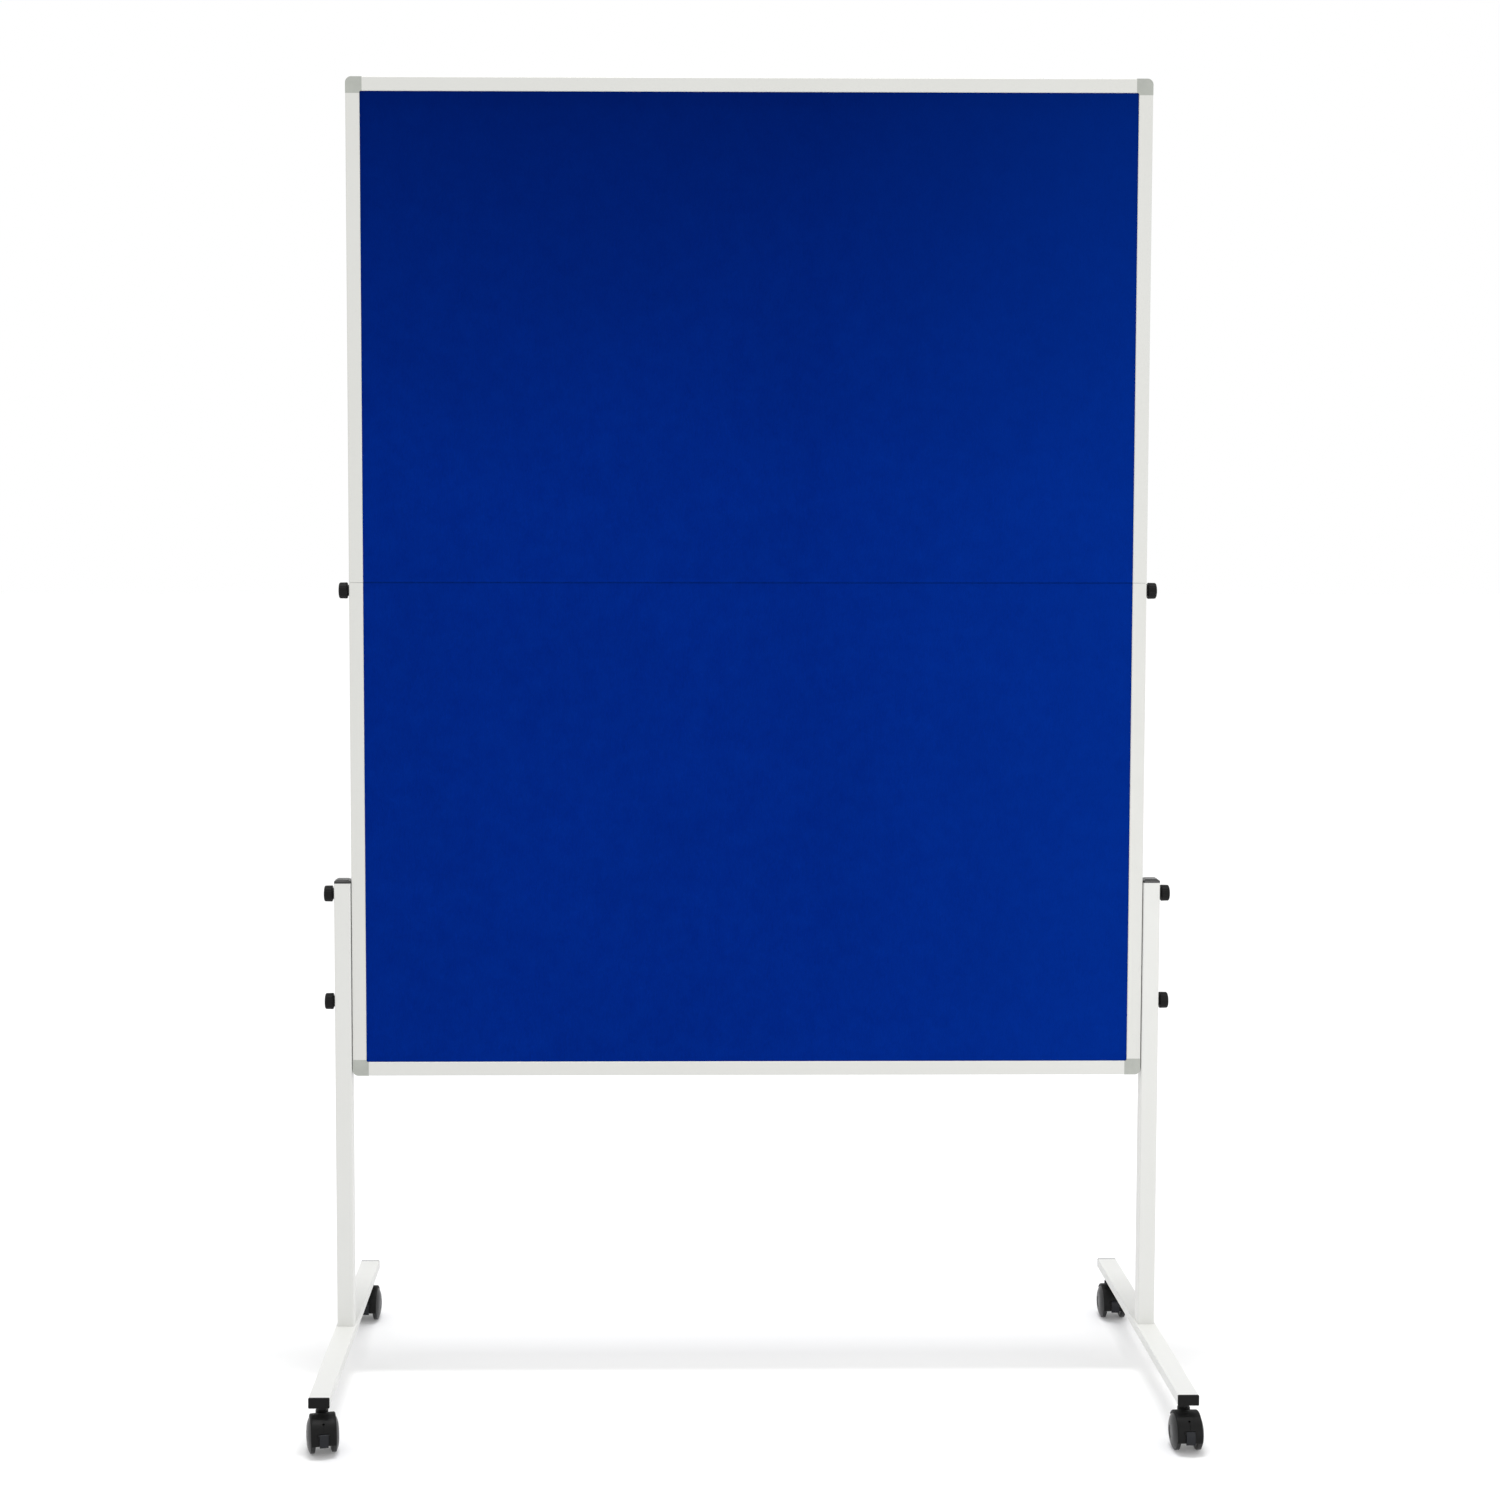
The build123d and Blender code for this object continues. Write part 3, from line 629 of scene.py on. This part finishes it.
# ---------------------------------------------------------------- the board
@dataclass
class FeltSheet:
    """One felt, glued over a half's core and turned in over its edge at the fold.

    Args:
        half: the half it covers.
        face: the side it is on.
        turn_radius: radius of the felt's outer surface round the edge.
        cell: the surface grid's spacing.
        sink: how far the surface dips between its high spots.
        swell: how far the soft edge stands out towards the other half.
        glue: the glue line between felt and core.
        turn_steps: flats round the turned edge.
        crease: the angle above which an edge stays sharp, in degrees.
        broad_waves: broad dips per metre.
        fine_waves: fine dips per metre.
    """

    half: Half
    face: Face
    turn_radius: float = 2.0 * MM
    cell: float = 6.0 * MM
    sink: float = 0.28 * MM
    swell: float = 0.1 * MM
    glue: float = 0.02 * MM
    turn_steps: int = 6
    crease: float = 50.0
    broad_waves: float = 9.0
    fine_waves: float = 60.0

    @property
    def node(self) -> str:
        """The CAD node it stands for."""
        return f"{self.half.value}_{self.face.name.lower()}_felt"

    @property
    def core(self) -> str:
        """The core board it is glued to."""
        return f"{self.half.value}_core"

    def section(self) -> list[tuple[float, float, bool]]:
        """The sheet's outline across its width.

        Returns:
            Points as (depth outwards from the board's middle, height, on the pinning face).
        """
        low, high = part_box(self.node)
        core_low, core_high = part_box(self.core)
        outer = max(abs(low.y), abs(high.y))
        inner = core_high.y + self.glue
        turned = min(abs(low.y), abs(high.y))
        towards = 1.0 if self.half is Half.LOWER else -1.0
        fold, far = (high.z, low.z) if self.half is Half.LOWER else (low.z, high.z)
        fold += towards * self.swell
        core_end = core_high.z if self.half is Half.LOWER else core_low.z
        core_end += towards * self.glue
        rows = round((high.z - low.z) / self.cell)
        start = fold - towards * self.turn_radius
        points = [(outer, far + (start - far) * i / rows, True) for i in range(rows + 1)]
        for i in range(1, self.turn_steps + 1):
            angle = pi / 2 * i / self.turn_steps
            depth = outer - self.turn_radius * (1 - cos(angle))
            points.append((depth, start + towards * self.turn_radius * sin(angle), False))
        points.append((turned, fold, False))
        points.append((turned, core_end, False))
        points.append((inner, core_end, False))
        points.append((inner, far, False))
        return points

    def build(self, palette: Palette) -> bpy.types.Object:
        """Make the felt, with a slightly uneven pinning face, and hide the CAD solid.

        Args:
            palette: the finishes.

        Returns:
            The felt's object.
        """
        low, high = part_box(self.node)
        outline = self.section()
        columns = round((high.x - low.x) / self.cell)
        points: list[tuple[float, float, float]] = []
        for i in range(columns + 1):
            x = low.x + (high.x - low.x) * i / columns
            for depth, z, pinned in outline:
                dip = self.dip(x, z) if pinned else 0.0
                points.append((x, self.face.value * (depth - dip), z))
        count = len(outline)
        faces: list[tuple[int, ...]] = []
        for i in range(columns):
            here, there = i * count, (i + 1) * count
            for j in range(count):
                following = (j + 1) % count
                faces.append((here + j, here + following, there + following, there + j))
        faces.append(tuple(reversed(range(count))))
        faces.append(tuple(range(columns * count, (columns + 1) * count)))
        if (self.face.value < 0) != (self.half is Half.UPPER):
            faces = [tuple(reversed(corners)) for corners in faces]
        mesh = bpy.data.meshes.new(f"felt_{self.node}")
        mesh.from_pydata(points, [], faces)
        mesh.shade_smooth()
        mesh.set_sharp_from_angle(angle=radians(self.crease))
        piece = bpy.data.objects.new(f"felt_{self.half.value}_{self.face.name.lower()}", mesh)
        bpy.context.scene.collection.objects.link(piece)
        palette.paint(piece, Coat.FELT)
        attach(piece, self.half.body)
        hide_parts(self.node)
        log.info("made %s", piece.name)
        return piece

    def dip(self, x: float, z: float) -> float:
        """How far the felt's face lies behind its highest level at a place.

        Args:
            x: the place across the board.
            z: its height.

        Returns:
            The dip in metres.
        """
        seed = 3.7 * self.face.value + (11.0 if self.half is Half.UPPER else 0.0)
        broad = noise.noise(Vector((x * self.broad_waves, seed, z * self.broad_waves)))
        fine = noise.noise(Vector((x * self.fine_waves, seed + 5.0, z * self.fine_waves)))
        return self.sink * (0.5 + 0.38 * broad + 0.12 * fine)


@dataclass
class BoardHalf:
    """One folding half: rails, corners, core and two felts.

    Args:
        half: which half it is.
        palette: the finishes.
    """

    half: Half
    palette: Palette

    def build(self) -> None:
        """Dress the half's CAD nodes and make its felts."""
        end = "bottom" if self.half is Half.LOWER else "top"
        for node in (f"{self.half.value}_left_rail", f"{self.half.value}_right_rail", f"{end}_rail"):
            self.palette.dress(node, Coat.RAIL)
        for node in (f"{end}_left_corner", f"{end}_right_corner"):
            self.palette.dress(node, Coat.CORNER)
        self.palette.dress(f"{self.half.value}_core", Coat.CORE)
        for face in Face:
            FeltSheet(self.half, face).build(self.palette)


@dataclass
class Hinges:
    """The two butt hinges behind the side rails.

    Args:
        palette: the finishes.
    """

    palette: Palette

    def build(self) -> None:
        """Dress the leaves, pins and rivets."""
        for half in Half:
            self.palette.dress(f"hinge_{half.value}_leaves", Coat.TUBE)
            self.palette.dress(f"hinge_{half.value}_rivets", Coat.ZINC)
        self.palette.dress("hinge_pins", Coat.ZINC)


@dataclass
class FoldLocks:
    """The lock bar and its knob in each side rail.

    Args:
        palette: the finishes.
    """

    palette: Palette

    def build(self) -> None:
        """Dress the bars and the knobs."""
        for side in ("left", "right"):
            self.palette.dress(f"{side}_lock_bar", Coat.ZINC)
            self.palette.dress(f"{side}_fold_knob", Coat.BLACK)


@dataclass
class Stand:
    """Posts, feet, caps, clamps and the fixings that hold them together.

    Args:
        palette: the finishes.
        fixings: the small pieces' nodes and the finish of each.
    """

    palette: Palette
    fixings: dict[str, Coat] = field(
        default_factory=lambda: {
            "post_caps": Coat.CAP,
            "foot_end_caps": Coat.BLACK,
            "post_plugs": Coat.BLACK,
            "foot_screws": Coat.ZINC,
            "clamp_bolts": Coat.ZINC,
            "castor_stems": Coat.BLACK_STEEL,
            "castor_nuts": Coat.ZINC,
        }
    )

    def build(self) -> None:
        """Dress both legs and their fixings."""
        for side in ("left", "right"):
            self.palette.dress(f"{side}_post", Coat.TUBE)
            self.palette.dress(f"{side}_foot", Coat.TUBE)
            self.palette.dress(f"{side}_upper_clamp_knob", Coat.BLACK)
            self.palette.dress(f"{side}_lower_clamp_knob", Coat.BLACK)
        for node, coat in self.fixings.items():
            self.palette.dress(node, coat)


@dataclass
class Castor:
    """One twin-wheel castor with its hood and brake pedal.

    Args:
        corner: which corner of the stand it is under.
        palette: the finishes.
    """

    corner: str
    palette: Palette

    def build(self) -> None:
        """Dress the castor's pieces."""
        self.palette.dress(f"{self.corner}_castor_hood", Coat.BLACK)
        self.palette.dress(f"{self.corner}_castor_axle", Coat.ZINC)
        self.palette.dress(f"{self.corner}_left_wheel", Coat.CASTOR)
        self.palette.dress(f"{self.corner}_right_wheel", Coat.CASTOR)
        self.palette.dress(f"{self.corner}_brake_pedal", Coat.PEDAL)


# ---------------------------------------------------------------- studio
@dataclass
class Softbox:
    """A rectangular studio light.

    Args:
        name: the light's name.
        place: where it hangs.
        target: the point it faces.
        width: its size across.
        height: its size the other way.
        power: its power in watts.
    """

    name: str
    place: tuple[float, float, float]
    target: tuple[float, float, float]
    width: float
    height: float
    power: float

    def build(self) -> None:
        """Hang the light."""
        light = bpy.data.lights.new(self.name, "AREA")
        light.shape = "RECTANGLE"
        light.size = self.width
        light.size_y = self.height
        light.energy = self.power
        holder = bpy.data.objects.new(self.name, light)
        holder.location = self.place
        aim = Vector(self.target) - Vector(self.place)
        holder.rotation_euler = aim.to_track_quat("-Z", "Y").to_euler()
        bpy.context.scene.collection.objects.link(holder)
        log.info("hung %s", self.name)


@dataclass
class Studio:
    """Floor, surrounding light and softboxes.

    Args:
        floor_size: length of the floor's sides.
        surround: strength of the light from all round.
        floor_paint: the floor's finish.
        lights: the softboxes.
    """

    floor_size: float = 60.0
    surround: float = 1.0
    floor_paint: StudioPaint = StudioPaint("white_floor_paint", (0.78, 0.78, 0.78))
    lights: tuple[Softbox, ...] = (
        Softbox("overhead_strip", (0.0, -0.3, 6.0), (0.0, 0.0, 0.0), 2.0, 0.3, 150.0),
        Softbox("low_right_fill", (1.5, -2.2, 0.55), (0.2, 0.0, 0.9), 1.2, 0.6, 9.0),
    )

    def build(self) -> None:
        """Lay the floor, set the surround and hang the lights."""
        half = self.floor_size / 2
        mesh = bpy.data.meshes.new("floor")
        corners = [(-half, -half, 0.0), (half, -half, 0.0), (half, half, 0.0), (-half, half, 0.0)]
        mesh.from_pydata(corners, [], [(0, 1, 2, 3)])
        floor = bpy.data.objects.new("floor", mesh)
        mesh.materials.append(self.floor_paint.build())
        bpy.context.scene.collection.objects.link(floor)
        world = bpy.data.worlds.new("surround")
        world.use_nodes = True
        backdrop = world.node_tree.nodes["Background"]
        backdrop.inputs["Color"].default_value = (1.0, 1.0, 1.0, 1.0)
        backdrop.inputs["Strength"].default_value = self.surround
        bpy.context.scene.world = world
        bpy.context.scene.view_settings.view_transform = "Standard"
        for light in self.lights:
            light.build()


@dataclass
class Viewpoint:
    """The camera, standing a little left of the middle, at chest height.

    Args:
        place: the lens position.
        tilt: how far it looks below the horizon, in degrees.
        turn: how far it turns to the right, in degrees.
        roll: how far it leans, in degrees.
        lens: focal length in millimetres.
        shift: sideways and upward lens shift.
        sensor: the sensor's width in millimetres.
    """

    place: tuple[float, float, float] = (-0.1417, -3.3866, 1.3378)
    tilt: float = 3.440
    turn: float = 0.6242
    roll: float = -0.0548
    lens: float = 53.95
    shift: tuple[float, float] = (0.0474, -0.0737)
    sensor: float = 36.0

    def build(self) -> None:
        """Set the camera up as the scene's own."""
        data = bpy.data.cameras.new("studio_camera")
        data.lens = self.lens
        data.sensor_width = self.sensor
        data.shift_x, data.shift_y = self.shift
        camera = bpy.data.objects.new("studio_camera", data)
        camera.location = self.place
        camera.rotation_euler = (radians(90.0 - self.tilt), radians(self.roll), radians(-self.turn))
        bpy.context.scene.collection.objects.link(camera)
        bpy.context.scene.camera = camera


def main() -> None:
    """Build the whole scene in order."""
    logging.basicConfig(level=logging.INFO, format="%(name)s: %(message)s")
    Viewpoint().build()
    palette = Palette()
    for half in Half:
        BoardHalf(half, palette).build()
    Hinges(palette).build()
    FoldLocks(palette).build()
    Stand(palette).build()
    for corner in ("front_left", "front_right", "rear_left", "rear_right"):
        Castor(corner, palette).build()
    Studio().build()


if __name__ == "__main__":
    main()
